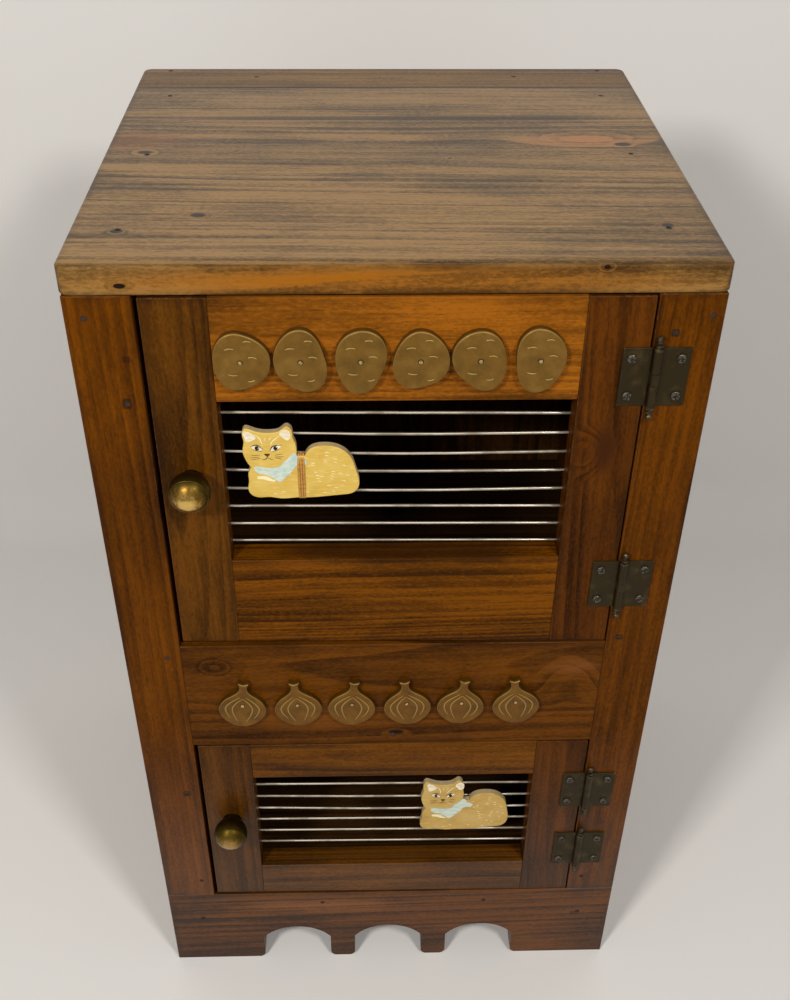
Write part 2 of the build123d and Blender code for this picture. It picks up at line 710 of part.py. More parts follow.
def ornament_row(name, rail, face_of, width, ends, z):
    """Row of as many ornaments as fit between two ends of a rail, each with its brad and its hole."""
    pieces, brads = [], []
    depth = ornament_thickness + brad_in_rail
    brad = [(brad_head_radius, -brad_head_height, 0), (brad_radius, 0, depth)]
    bore = [(brad_radius, -cut_past, depth + fastener_clearance)]
    count = int((ends[1] - ends[0]) // (width + ornament_gap)) + 1
    for number, x in enumerate(spaced(*ends, count)):
        head = (x, front - ornament_thickness, z)
        hole = shaft(head, (0, 1, 0), bore, fastener_clearance)
        brads.append(shaft(head, (0, 1, 0), brad))
        pieces.append(ornament(face_of(number), x, z) - hole)
        parts[rail] -= hole
    parts[f"{name}_ornaments"] = group(pieces)
    parts[f"{name}_brads"] = group(brads)


potato_ends = (window_left + potato_row_start, window_right - potato_row_end)
ornament_row("potato", "upper_top_rail", potato, potato_width, potato_ends,
             upper["top"] - upper_top_rail / 2 - potato_row_drop)
onion_ends = (-half_opening + onion_row_start, half_opening - onion_row_end)
ornament_row("onion", "middle_rail", onion, onion_width, onion_ends,
             (rail_bottom + rail_top) / 2 - onion_row_drop)


# --- Wooden cats, held on the wires by magnets --------------------------------------------------
def cat(left, base, stretch, lean):
    """Lying cat sawn from thin board, its head on the left."""
    def place(point):
        height = point[1] * stretch
        return (point[0] + lean * height, 0, height)

    notch = [(cat_waist[0], cat_waist_height), (cat_waist[1], cat_waist_height)]
    outline = [
        Line(place(notch[0]), place(notch[1])),
        Spline(*[place(point) for point in [notch[1], *cat_body, cat_neck]]),
        Spline(*[place(point) for point in [cat_neck, *cat_head, notch[0]]]),
    ]
    solid = extrude(make_face(Curve() + outline), amount=cat_thickness, dir=(0, -1, 0))
    rim = solid.faces().sort_by(Axis.Y)[0].edges()
    return Pos(left, cat_y, base) * fillet(rim, cat_ease)


def magnet(left, base, stretch, lean):
    """Flat magnet on the cat's back, beside the waist and just clear of the wires."""
    low_x = left + cat_waist[1] + magnet_inset + lean * cat_waist_height / 2
    middle_z = base + cat_waist_height * stretch / 2
    return plank((low_x, low_x + magnet_width), (cat_y, cat_y + magnet_thickness),
                 (middle_z - magnet_height / 2, middle_z + magnet_height / 2), ease=magnet_ease)


cat_y = wire_y - wire_diameter / 2 - magnet_gap - magnet_thickness
cats = {
    "upper": (window_left + upper_cat_inset, upper["window_top"] - upper_cat_drop - cat_height, 1.0, 0.0),
    "lower": (window_right - lower_cat_inset - cat_width,
              lower["window_top"] - lower_cat_drop - cat_height * lower_cat_stretch,
              lower_cat_stretch, lower_cat_lean),
}
for name, place in cats.items():
    parts[f"{name}_cat"] = cat(*place)
    parts[f"{name}_cat_magnet"] = magnet(*place)

# Rubber band round the upper cat's waist, clear of the wires and of the magnet's sides.
band_left = cats["upper"][0] + (cat_waist[0] + cat_waist[1]) / 2 - band_width / 2
band_base = cats["upper"][1]
inside_y = (cat_y - cat_thickness - band_gap, cat_y + band_gap)
inside_z = (band_base - band_gap, band_base + cat_waist_height + band_gap)
outside_y = (inside_y[0] - band_thickness, inside_y[1] + band_thickness)
outside_z = (inside_z[0] - band_thickness, inside_z[1] + band_thickness)
band_x = (band_left, band_left + band_width)
hole_x = (band_x[0] - cut_past, band_x[1] + cut_past)
parts["cat_rubber_band"] = block(band_x, outside_y, outside_z) - block(hole_x, inside_y, inside_z)


# --- Finishing nails, their heads just below the wood -------------------------------------------
nails = []


def drive(origin, direction, length, boards):
    """Drive a nail through the first board into the others, and make its hole in each."""
    steps = [
        (nail_head_radius, nail_set, nail_set + nail_head_height),
        (nail_radius, nail_set + nail_head_height, length),
    ]
    hole = [
        (nail_head_radius, -cut_past, nail_set + nail_head_height),
        (nail_radius, nail_set + nail_head_height, length + fastener_clearance),
    ]
    nails.append(shaft(origin, direction, steps))
    for board_name in boards:
        parts[board_name] -= shaft(origin, direction, hole, fastener_clearance)


post_middle = (post_inner + side_inner) / 2
top_face = body_top + board
for name, side in sides.items():
    post = f"corner_post_{name}"
    under_top = [post] + [f"top_cleat_{name}"] * (top_nail_count - 1)
    top_nails_y = spaced(front + top_nail_front, seam_y - nail_end_inset, top_nail_count)
    for y, member in zip(top_nails_y, under_top):
        drive((side * post_middle, y, top_face), (0, 0, -1), nail_length, ["top_front_board", member])
    strip_end = (side * (half_width - nail_end_inset), back - back_thickness / 2, top_face)
    outer_board = "back_board_1" if side < 0 else f"back_board_{back_board_count}"
    drive(strip_end, (0, 0, -1), nail_length, ["top_back_strip", outer_board])
    strip_inner = (side * strip_nail_pitch / 2, back_face - cleat / 2, top_face)
    drive(strip_inner, (0, 0, -1), nail_length, ["top_back_strip", "top_cleat_back"])
    for inset, share in face_nails[name]:
        behind = f"side_panel_{name}" if inset < half_width - side_inner else post
        z = body_top - share * (body_top - base_height)
        drive((side * (half_width - inset), front, z), (0, 1, 0), nail_length,
              [f"face_stile_{name}", "middle_rail", behind])
    drive((side * post_middle, front, floor_bottom - nail_end_inset / 2), (0, 1, 0), nail_length,
          ["base_board", post])
    base_nail_x = base_nail_offset + side * base_nail_pitch / 2
    drive((base_nail_x, front, (floor_bottom + floor_top) / 2), (0, 1, 0), nail_length,
          ["base_board", "floor_panel"])
drive((0, front, (rail_bottom + shelf_top) / 2), (0, 1, 0), nail_length, ["middle_rail", "divider_shelf"])

back_members = {
    "floor_panel": (floor_bottom + floor_top) / 2,
    "divider_shelf": (rail_bottom + shelf_top) / 2,
    "top_cleat_back": body_top - cleat / 2,
}
for number in range(back_board_count):
    middle = -half_width + (number + 0.5) * back_board_width
    reach = back_board_width / 2 - nail_end_inset
    for x in (middle - reach, middle + reach):
        for member, z in back_members.items():
            drive((x, back, z), (0, -1, 0), back_nail_length, [f"back_board_{number + 1}", member])
parts["cabinet_nails"] = group(nails)

os.makedirs("parts", exist_ok=True)
for name, shape in parts.items():
    shape.label = name
    export_step(shape, f"parts/{name}.step")
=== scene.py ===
from math import pi, radians

import bmesh
import bpy
from mathutils import Euler, Matrix, Vector


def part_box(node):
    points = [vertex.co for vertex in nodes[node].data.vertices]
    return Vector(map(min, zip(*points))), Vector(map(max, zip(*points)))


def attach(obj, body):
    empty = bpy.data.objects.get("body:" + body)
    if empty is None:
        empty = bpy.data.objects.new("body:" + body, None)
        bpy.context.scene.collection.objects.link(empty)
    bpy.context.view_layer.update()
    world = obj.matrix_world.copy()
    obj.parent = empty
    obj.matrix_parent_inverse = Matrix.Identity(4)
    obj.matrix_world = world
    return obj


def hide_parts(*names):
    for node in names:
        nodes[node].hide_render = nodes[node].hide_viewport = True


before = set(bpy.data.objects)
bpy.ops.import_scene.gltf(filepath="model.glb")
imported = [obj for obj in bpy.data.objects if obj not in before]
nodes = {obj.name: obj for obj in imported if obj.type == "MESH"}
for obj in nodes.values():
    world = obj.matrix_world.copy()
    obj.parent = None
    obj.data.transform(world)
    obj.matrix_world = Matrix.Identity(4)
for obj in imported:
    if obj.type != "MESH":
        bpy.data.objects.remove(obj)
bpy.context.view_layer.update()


# --- Camera ---------------------------------------------------------------------------------------
# The cabinet is seen from above and a little left of its middle, so that the whole top shows and
# the doors run away downwards. The lens is a short one, close to the cabinet.
lens = 42.23
eye = Vector((-0.0202, -0.8083, 1.0139))
turned_right, turned_down, leaned = 0.0320, 0.6435, 0.0098

camera = bpy.data.objects.new("camera", bpy.data.cameras.new("camera"))
camera.data.lens = lens
camera.data.clip_start = 0.02
bpy.context.collection.objects.link(camera)
bpy.context.scene.camera = camera
camera.matrix_world = (
    Matrix.Translation(eye)
    @ Matrix.Rotation(-turned_right, 4, "Z")
    @ Matrix.Rotation(pi / 2 - turned_down, 4, "X")
    @ Matrix.Rotation(leaned, 4, "Z")
)


# --- Floor and backdrop ---------------------------------------------------------------------------
# A pale sheet of backdrop paper lies on the floor and turns up behind the cabinet in a tight bend.
# It is one-sided, so that the cabinet can be seen from behind it.
paper_white = "EEECE9"
paper_behind = 0.50
paper_bend = 0.07
paper_bend_steps = 12
paper_reach = 3.0
paper_top = 2.4


def colour(code):
    """Six hex digits as a colour in linear light."""
    parts = [int(code[place:place + 2], 16) / 255 for place in (0, 2, 4)]
    return [part / 12.92 if part <= 0.04045 else ((part + 0.055) / 1.055) ** 2.4 for part in parts] + [1.0]


def node(tree, kind, sockets=None, **settings):
    """A shader node. Each socket is given a value, or the output that feeds it."""
    made = tree.nodes.new("ShaderNode" + kind)
    for name, value in settings.items():
        setattr(made, name, value)
    for name, value in (sockets or {}).items():
        if isinstance(value, bpy.types.NodeSocket):
            tree.links.new(value, made.inputs[name])
        else:
            made.inputs[name].default_value = value
    return made


def new_finish(name):
    """A material with its node tree, its shader and the place on the piece."""
    material = bpy.data.materials.new(name)
    material.use_nodes = True
    tree = material.node_tree
    return material, tree, tree.nodes["Principled BSDF"], node(tree, "TexCoord").outputs["Object"]


def dress(piece, material):
    """Gives a piece its only material."""
    piece.data.materials.clear()
    piece.data.materials.append(material)


def linked(name, data):
    """An object at the origin that holds a finished mesh or curve."""
    piece = bpy.data.objects.new(name, data)
    bpy.context.collection.objects.link(piece)
    return piece


def backdrop():
    foot = paper_behind - paper_bend
    bm = bmesh.new()
    line = [bm.verts.new((-paper_reach, y, 0)) for y in (-paper_reach, foot)]
    bm.edges.new(line)
    bent = bmesh.ops.spin(
        bm, geom=line[1:], cent=(0, foot, paper_bend), axis=(1, 0, 0), angle=pi / 2, steps=paper_bend_steps
    )["geom_last"]
    bent = [part for part in bent if isinstance(part, bmesh.types.BMVert)]
    top = bmesh.ops.extrude_vert_indiv(bm, verts=bent)
    bmesh.ops.translate(bm, verts=top["verts"], vec=(0, 0, paper_top))
    across = bmesh.ops.extrude_edge_only(bm, edges=bm.edges[:])["geom"]
    far = [part for part in across if isinstance(part, bmesh.types.BMVert)]
    bmesh.ops.translate(bm, verts=far, vec=(2 * paper_reach, 0, 0))
    bmesh.ops.recalc_face_normals(bm, faces=bm.faces)
    bm.faces.ensure_lookup_table()
    bm.normal_update()
    if max(face.normal.z for face in bm.faces) < 0.5:
        bmesh.ops.reverse_faces(bm, faces=bm.faces)
    for face in bm.faces:
        face.smooth = True
    mesh = bpy.data.meshes.new("backdrop")
    bm.to_mesh(mesh)
    bm.free()
    return linked("backdrop", mesh)


def paper_finish():
    material, tree, shader, _ = new_finish("backdrop_paper")
    shader.inputs["Base Color"].default_value = colour(paper_white)
    shader.inputs["Roughness"].default_value = 0.9
    shader.inputs["Specular IOR Level"].default_value = 0.1
    behind = node(tree, "NewGeometry").outputs["Backfacing"]
    through = node(tree, "BsdfTransparent").outputs[0]
    sides = node(tree, "MixShader", {0: behind, 1: shader.outputs[0], 2: through})
    tree.links.new(sides.outputs[0], tree.nodes["Material Output"].inputs["Surface"])
    return material


paper = backdrop()
dress(paper, paper_finish())


# --- Studio light ---------------------------------------------------------------------------------
# Two soft boxes stand behind the camera at head height, one on each side, and throw soft shadows
# on the paper. The rest of the room is dim, and looks pale past the edges of the paper and in
# metal and varnish.
soft_boxes = {"left": (-0.72, -1.25, 1.50), "right": (0.62, -1.20, 1.62)}
soft_box_watts = {"left": 15.4, "right": 11.8}
soft_box_size = 0.24
soft_box_white = (1.0, 0.97, 0.93)
soft_box_aim = Vector((0, 0, 0.42))
room_white = (1.0, 0.99, 0.97, 1.0)
room_light = 0.21
room_seen = "D9D6D1"

for side, place in soft_boxes.items():
    lamp = bpy.data.lights.new("soft_box_" + side, "AREA")
    lamp.size = soft_box_size
    lamp.energy = soft_box_watts[side]
    lamp.color = soft_box_white
    box = linked("soft_box_" + side, lamp)
    box.location = place
    box.rotation_euler = (soft_box_aim - box.location).to_track_quat("-Z", "Y").to_euler()

room = bpy.data.worlds.new("room")
room.use_nodes = True
room_nodes = room.node_tree
lit = room_nodes.nodes["Background"].outputs[0]
room_nodes.nodes["Background"].inputs["Color"].default_value = room_white
room_nodes.nodes["Background"].inputs["Strength"].default_value = room_light
seen = node(room_nodes, "Background", {"Color": colour(room_seen), "Strength": 1.0}).outputs[0]
rays = node(room_nodes, "LightPath").outputs
looking = {0: rays["Is Camera Ray"], 1: rays["Is Glossy Ray"]}
looking = node(room_nodes, "Math", looking, operation="ADD").outputs[0]
looking = {0: looking, 1: rays["Is Transmission Ray"]}
looking = node(room_nodes, "Math", looking, operation="ADD", use_clamp=True).outputs[0]
room_shader = node(room_nodes, "MixShader", {0: looking, 1: lit, 2: seen}).outputs[0]
room_nodes.links.new(room_shader, room_nodes.nodes["World Output"].inputs["Surface"])
bpy.context.scene.world = room
bpy.context.scene.view_settings.view_transform = "Standard"


# --- Sides, corner posts, cleats, shelf and floor -------------------------------------------------
# The carcass is nailed up from planed pine boards, the sides with their grain upright. Like the
# rest of the cabinet they are stained a warm brown and wiped with a satin varnish.
grain_turns = {"x": (0, 0, 0), "y": (0, 0, -pi / 2), "z": (0, pi / 2, 0)}
grain_lines = {"x": (1, 0, 0), "y": (0, 1, 0), "z": (0, 0, 1)}


def maths(tree, operation, *values, clamp=False):
    return node(tree, "Math", dict(enumerate(values)), operation=operation, use_clamp=clamp).outputs[0]


def vectors(tree, operation, *values):
    return node(tree, "VectorMath", dict(enumerate(values)), operation=operation).outputs


def eased(tree, value, low, high, start=0.0, end=1.0):
    """Runs smoothly from start to end as the value goes from low to high."""
    sockets = {"Value": value, "From Min": low, "From Max": high, "To Min": start, "To Max": end}
    return node(tree, "MapRange", sockets, interpolation_type="SMOOTHSTEP").outputs[0]


def cloud(tree, vector, per_metre, detail=2.0, roughness=0.5):
    """Noise with its own number of waves per metre in each direction."""
    spread = vectors(tree, "MULTIPLY", vector, per_metre)[0]
    sockets = {"Vector": spread, "Detail": detail, "Roughness": roughness, "Scale": 1.0}
    return node(tree, "TexNoise", sockets).outputs[0]


def mixed(tree, factor, first, second):
    return node(tree, "Mix", {0: factor, 6: first, 7: second}, data_type="RGBA").outputs[2]


def shader_group(name, inputs, outputs):
    """An empty node group, with its named sockets' ends inside it."""
    tree = bpy.data.node_groups.new(name, "ShaderNodeTree")
    for way, sockets in (("INPUT", inputs), ("OUTPUT", outputs)):
        for title, kind in sockets.items():
            tree.interface.new_socket(title, in_out=way, socket_type="NodeSocket" + kind)
    return tree, tree.nodes.new("NodeGroupInput").outputs, tree.nodes.new("NodeGroupOutput").inputs


def placed(tree, group, sockets):
    return node(tree, "Group", sockets, node_tree=group).outputs


waver_waves = (2.4, 15, 15)
pore_waves = (70, 900, 900)
blotch_waves = (7, 20, 20)
fibre_layers = (
    ((4, 150, 150), 2.0, 0.5, 0.25),
    ((14, 430, 430), 3.0, 0.6, 0.30),
    ((260, 620, 620), 3.0, 0.7, 0.45),
)


def grain_group():
    """Growth rings round a line along X, with fibres, pores and blotches of stain."""
    tree, given, out = shader_group(
        "Board Grain",
        {"Vector": "Vector", "Ring Width": "Float", "Waver": "Float", "Swirl": "Float"},
        {"Ring": "Float", "Fibre": "Float", "Pore": "Float", "Blotch": "Float"},
    )
    place = given["Vector"]
    radius = vectors(tree, "LENGTH", vectors(tree, "MULTIPLY", place, (0, 1, 1))[0])["Value"]
    drift = maths(tree, "SUBTRACT", cloud(tree, place, waver_waves), 0.5)
    drift = maths(tree, "MULTIPLY_ADD", drift, given["Waver"], given["Swirl"])
    radius = maths(tree, "ADD", radius, drift)
    uneven = {"W": maths(tree, "MULTIPLY", radius, 60.0), "Scale": 1.0, "Detail": 1.0}
    uneven = node(tree, "TexNoise", uneven, noise_dimensions="1D").outputs[0]
    years = maths(tree, "MULTIPLY_ADD", uneven, 3.2, maths(tree, "DIVIDE", radius, given["Ring Width"]))
    strength = {"W": maths(tree, "FLOOR", years)}
    strength = node(tree, "TexWhiteNoise", strength, noise_dimensions="1D").outputs["Value"]
    season = maths(tree, "FRACT", years)
    late = maths(tree, "MULTIPLY", eased(tree, season, 0.1, 0.86), eased(tree, season, 0.90, 1.0, 1.0, 0.0))
    tree.links.new(maths(tree, "MULTIPLY", late, eased(tree, strength, 0.0, 1.0, 0.35, 1.0)), out["Ring"])
    fibre = 0.0
    for waves, detail, roughness, share in fibre_layers:
        fibre = maths(tree, "MULTIPLY_ADD", cloud(tree, place, waves, detail, roughness), share, fibre)
    tree.links.new(eased(tree, fibre, 0.40, 0.60), out["Fibre"])
    pore = cloud(tree, place, pore_waves, 1.0)
    tree.links.new(eased(tree, pore, 0.60, 0.74), out["Pore"])
    blotch = cloud(tree, place, blotch_waves, 5.0, 0.6)
    tree.links.new(eased(tree, blotch, 0.34, 0.68), out["Blotch"])
    return tree


def edge_group():
    """Nearness to the edges of a box between two corners: 1 on an edge, 0 at Reach from it."""
    tree, given, out = shader_group(
        "Board Edge",
        {"Vector": "Vector", "Low": "Vector", "High": "Vector", "Reach": "Float"},
        {"Edge": "Float"},
    )
    above = vectors(tree, "SUBTRACT", given["Vector"], given["Low"])[0]
    below = vectors(tree, "SUBTRACT", given["High"], given["Vector"])[0]
    x, y, z = node(tree, "SeparateXYZ", {0: vectors(tree, "MINIMUM", above, below)[0]}).outputs
    low, high = maths(tree, "MINIMUM", x, y), maths(tree, "MAXIMUM", x, y)
    second = maths(tree, "MAXIMUM", low, maths(tree, "MINIMUM", high, z))
    tree.links.new(eased(tree, second, 0.0, given["Reach"], 1.0, 0.0), out["Edge"])
    return tree


def spot_group():
    """1 inside an oval, or a block with round corners, fading to 0 over Softness of its size."""
    tree, given, out = shader_group(
        "Spot",
        {"Vector": "Vector", "Centre": "Vector", "Size": "Vector", "Softness": "Float", "Block": "Float"},
        {"Spot": "Float"},
    )
    away = vectors(tree, "SUBTRACT", given["Vector"], given["Centre"])[0]
    away = vectors(tree, "DIVIDE", away, given["Size"])[0]
    oval = vectors(tree, "LENGTH", away)["Value"]
    block = maths(tree, "SQRT", vectors(tree, "LENGTH", vectors(tree, "MULTIPLY", away, away)[0])["Value"])
    away = maths(tree, "MULTIPLY_ADD", maths(tree, "SUBTRACT", block, oval), given["Block"], oval)
    inner = maths(tree, "SUBTRACT", 1.0, given["Softness"])
    tree.links.new(eased(tree, away, inner, 1.0, 1.0, 0.0), out["Spot"])
    return tree


grain, board_edge, spot_mask = grain_group(), edge_group(), spot_group()


def spots(tree, place, marks, softness, block=0.0):
    """The strongest of several marks, each a centre and three half sizes in millimetres."""
    found = 0.0
    for centre, size in marks:
        sockets = {"Vector": place, "Centre": Vector(centre) / 1000, "Size": Vector(size) / 1000,
                   "Softness": softness, "Block": block}
        found = maths(tree, "MAXIMUM", found, placed(tree, spot_mask, sockets)["Spot"])
    return found


plain_tone = 0.42


def shades(code, darkest):
    """Pale, plain and dark shades of one stain, at their places on a scale of tone."""
    plain = colour(code)
    scales = ((0.02, 1.6), (plain_tone, 1.0), (0.95, darkest))
    return [(at, [part * scale for part in plain[:3]] + [1.0]) for at, scale in scales]


def graded(tree, value, stops):
    """The value as a colour, by way of stops."""
    made = node(tree, "ValToRGB", {0: value})
    points = made.color_ramp.elements
    while len(points) < len(stops):
        points.new(0.5)
    for point, (at, shade) in zip(points, stops):
        point.position = at
        point.color = shade
    return made.outputs[0]


# Dark brown for pores, end grain, grime, filler and dirt. It is also the painted shade on the upper ledge and
# down the ornaments' sides.
grime_and_shade_colour = "2A1606"
worn_colour = "8A5A2C"
knot_colour = "20120A"
knot_core = 0.42
swirl_pull = 0.016
grime_reach = 0.007
worn_reach = 0.0013
pore_strength = 0.4
dirt_and_shade_strength = 0.75
fill_strength = 0.7
relief_depth = 0.0004
tone_shares = {"Ring": 0.36, "Fibre": 0.30, "Blotch": 0.34}
plain_gloss = 0.04
thin_varnish = 0.02
side_varnish = (2, 0.36, 0.10, 0.4)
varnish_roughness = 0.3


def stained_pine(name, along, seed, stain, ring=6.0, pith=(45, 20), tilt=(0, 0), waver=8.0, contrast=1.4,
                 knots=(), flames=(), flushes=(), dirt_and_shade=(), fills=(), darkest=0.36, varnish=None, relief=0.3):
    """Stained and varnished board: rings round the tree's pith, at its place across the board."""
    material, tree, shader, place = new_finish(name + "_pine")
    low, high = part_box(name)
    turn = Euler(grain_turns[along])
    middle = turn.to_matrix() @ ((low + high) / -2)
    centred = node(tree, "Mapping", {"Vector": place, "Location": middle, "Rotation": turn}).outputs[0]
    log = {"Vector": centred, "Location": (seed, -pith[0] / 1000, -pith[1] / 1000),
           "Rotation": (0, radians(tilt[0]), radians(tilt[1]))}
    log = node(tree, "Mapping", log).outputs[0]
    swirl = maths(tree, "MULTIPLY", spots(tree, place, (*knots, *flames), 1.0), swirl_pull)
    rings = {"Vector": log, "Ring Width": ring / 1000, "Waver": waver / 1000, "Swirl": swirl}
    wood = placed(tree, grain, rings)
    tone = plain_tone - plain_tone * contrast
    for part, share in tone_shares.items():
        tone = maths(tree, "MULTIPLY_ADD", wood[part], share * contrast, tone)
    shade = graded(tree, tone, shades(stain, darkest))
    shade = mixed(tree, maths(tree, "MULTIPLY", wood["Pore"], pore_strength), shade, colour(grime_and_shade_colour))
    for mark, code in flushes:
        flush = eased(tree, tone, 1.0, 0.2, 0.4, 1.0)
        flush = maths(tree, "MULTIPLY", spots(tree, place, [mark], 0.9), flush)
        shade = mixed(tree, flush, shade, colour(code))
    facing = node(tree, "TexCoord").outputs["Normal"]
    grain_end = vectors(tree, "DOT_PRODUCT", facing, grain_lines[along])["Value"]
    grain_end = maths(tree, "ABSOLUTE", grain_end)
    shade = mixed(tree, eased(tree, grain_end, 0.5, 0.9, 0.0, 0.5), shade, colour(grime_and_shade_colour))
    edges = {"Vector": place, "Low": low, "High": high}
    grime = placed(tree, board_edge, {**edges, "Reach": grime_reach})["Edge"]
    grime = maths(tree, "MULTIPLY", grime, eased(tree, wood["Blotch"], 0.1, 0.9, 0.15, 0.6))
    shade = mixed(tree, grime, shade, colour(grime_and_shade_colour))
    worn = placed(tree, board_edge, {**edges, "Reach": worn_reach})["Edge"]
    worn = maths(tree, "MULTIPLY", worn, eased(tree, wood["Fibre"], 0.35, 0.9, 0.0, 0.35))
    shade = mixed(tree, worn, shade, colour(worn_colour))
    # Dirt marks. The mark on the upper door's ledge is dirt and painted shade together.
    if dirt_and_shade:
        dirt_and_shade_mask = maths(tree, "MULTIPLY", spots(tree, place, dirt_and_shade, 0.5, 1.0), dirt_and_shade_strength)
        shade = mixed(tree, dirt_and_shade_mask, shade, colour(grime_and_shade_colour))
    if knots:
        core = spots(tree, place, [(centre, Vector(size) * knot_core) for centre, size in knots], 0.35)
        shade = mixed(tree, core, shade, colour(knot_colour))
    if fills:
        filled = maths(tree, "MULTIPLY", spots(tree, place, fills, 0.25, 1.0), fill_strength)
        shade = mixed(tree, filled, shade, colour(grime_and_shade_colour))
    tree.links.new(shade, shader.inputs["Base Color"])
    tree.links.new(eased(tree, wood["Fibre"], 0.0, 1.0, 0.38, 0.60), shader.inputs["Roughness"])
    shader.inputs["Specular IOR Level"].default_value = plain_gloss
    shader.inputs["Coat Weight"].default_value = thin_varnish
    if varnish:
        axis, start, end, weight = varnish
        place_along = node(tree, "SeparateXYZ", {0: place}).outputs[axis]
        coat = eased(tree, place_along, start, end, thin_varnish, weight)
        tree.links.new(coat, shader.inputs["Coat Weight"])
    shader.inputs["Coat Roughness"].default_value = varnish_roughness
    height = maths(tree, "MULTIPLY_ADD", wood["Ring"], -0.5, wood["Fibre"])
    bump = node(tree, "Bump", {"Strength": relief, "Distance": relief_depth, "Height": height})
    tree.links.new(bump.outputs[0], shader.inputs["Normal"])
    dress(nodes[name], material)


stained_pine("side_panel_left", "z", 1.3, "5C3608", ring=7, pith=(30, 60), tilt=(1.5, 1),
             varnish=side_varnish)
stained_pine("side_panel_right", "z", 2.9, "5A3408", ring=7, pith=(-40, -70), tilt=(-1, 2),
             varnish=side_varnish)
inside_boards = {
    "corner_post_left": "z", "corner_post_right": "z", "top_cleat_left": "y", "top_cleat_right": "y",
    "top_cleat_back": "x", "divider_shelf": "x", "floor_panel": "x",
}
for number, (name, along) in enumerate(inside_boards.items()):
    stained_pine(name, along, 4.1 + number, "34200C")


# --- Back boards ----------------------------------------------------------------------------------
# Three thin upright boards close the back, nailed to the shelf, the floor and the back cleat. They
# are rougher than the front and took the stain unevenly.
bare_patch = ((-20, 186, 520), (150, 12, 170))

for number in (1, 2, 3):
    stained_pine(f"back_board_{number}", "z", 11.7 * number, "64401A", ring=5, pith=(60, 20 * number - 40),
                 tilt=(2, number - 2), relief=0.6, flushes=[(bare_patch, "C89048")])


# --- Face frame and base board --------------------------------------------------------------------
# Two stiles, a rail between the doors and a base board sawn into three arches make the front, all
# of inch pine. Square dabs of filler cover some of the nails along the stiles.
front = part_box("face_stile_left")[0].y * 1000
low_varnish = (2, 0.34, 0.09, 0.55)

stained_pine(
    "face_stile_left", "z", 21.3, "582E00", ring=3.5, pith=(60, 35), tilt=(1, 0.6), contrast=1.15,
    varnish=low_varnish,
    fills=[((-169.7, front, 616.8), (3.6, 2, 4.6)), ((-166, front, 649), (2.6, 2, 2.6)),
           ((-169.1, front, 238.2), (3.4, 2, 4.0)), ((-171, front, 61), (2.5, 2, 2.5))],
)
stained_pine(
    "face_stile_right", "z", 23.9, "532B00", ring=4, pith=(60, -45), tilt=(-1.2, 0.5), varnish=low_varnish,
    fills=[((171.4, front, 665.2), (3.0, 2, 3.0)), ((168.1, front, 409.7), (3.0, 2, 3.0))],
)
stained_pine(
    "middle_rail", "x", 26.1, "532D03", ring=9, pith=(35, 30), tilt=(2, 3), waver=16,
    knots=[((2.6, front, 309.5), (16, 8, 7))],
    flames=[((135.5, front, 365), (30, 10, 34)), ((-134, front, 383), (26, 10, 16))],
    flushes=[(((138, front, 380), (30, 10, 14)), "74441A"), (((-60, front, 330), (90, 10, 22)), "70400E")],
)
stained_pine(
    "base_board", "x", 28.7, "522B00", ring=6, pith=(45, -50), tilt=(1, 1), contrast=1.9, varnish=low_varnish,
    flushes=[(((-60, front, 78), (120, 10, 14)), "7C4A20")],
    fills=[((-171, front, 61), (4.6, 2, 2.2)), ((169, front, 61.5), (5.0, 2, 3.0))],
)


# --- Top ------------------------------------------------------------------------------------------
# One wide board and a narrow strip behind it, with a dark seam between, end flush with the face
# frame. The rings run flat through the middle and bunch towards the edges; a few pin knots show.
top_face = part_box("top_front_board")[1].z * 1000
top_varnish = (1, -0.176, -0.160, 0.65)
strip_varnish = (1, 0.140, 0.150, 0.5)

# The stains of the top board and of the strip behind it are paler and greyer than the front's, partly a
# painted sheen. The top's front edge is flushed a warmer brown.
stained_pine(
    "top_front_board", "x", 31.9, "7A5C32", ring=7, pith=(20, -75), tilt=(0.6, 1.2), waver=12,
    contrast=1.8, darkest=0.32, varnish=top_varnish,
    knots=[((169, 22.7, top_face), (17, 10, 6)), ((-173.5, 8.4, top_face), (15, 9, 6)),
           ((-124.4, -101.6, top_face), (14, 9, 6)), ((41.8, -4, top_face), (5, 4, 6)),
           ((-172, -125.6, top_face), (12, 8, 6)), ((171.6, -119.5, top_face), (11, 8, 6)),
           ((-163.9, front, 698.6), (11, 6, 5)), ((124.3, front, 709.5), (6, 5, 4))],
    flames=[((146, 31, top_face), (70, 22, 12))],
    flushes=[(((146, 31, top_face), (75, 20, 12)), "A8703A"),
             (((-185, 30, top_face), (60, 26, 12)), "94602E"),
             (((0, front, 701), (260, 5, 16)), "9A5C10")],
    dirt_and_shade=[((0, 153, top_face), (240, 4.0, 5)), ((0, 79, top_face), (210, 6, 3))],
)
stained_pine("top_back_strip", "x", 34.3, "6B4C20", ring=5, pith=(-80, -60), darkest=0.3,
             dirt_and_shade=[((0, 152, top_face), (240, 3.6, 5))], varnish=strip_varnish)


# --- Doors ----------------------------------------------------------------------------------------
# Each door is four boards of inch pine, tenoned together round the window. The boards come from
# different planks, so that some are redder or darker than their neighbours.
# The ledge inside the upper window is darkened with dirt and painted shade together.
upper_ledge_dirt_and_shade = ((1, -165, 487.5), (117, 10.5, 3))
lower_ledge = ((1, -165, 141.0), (150, 10.0, 4))

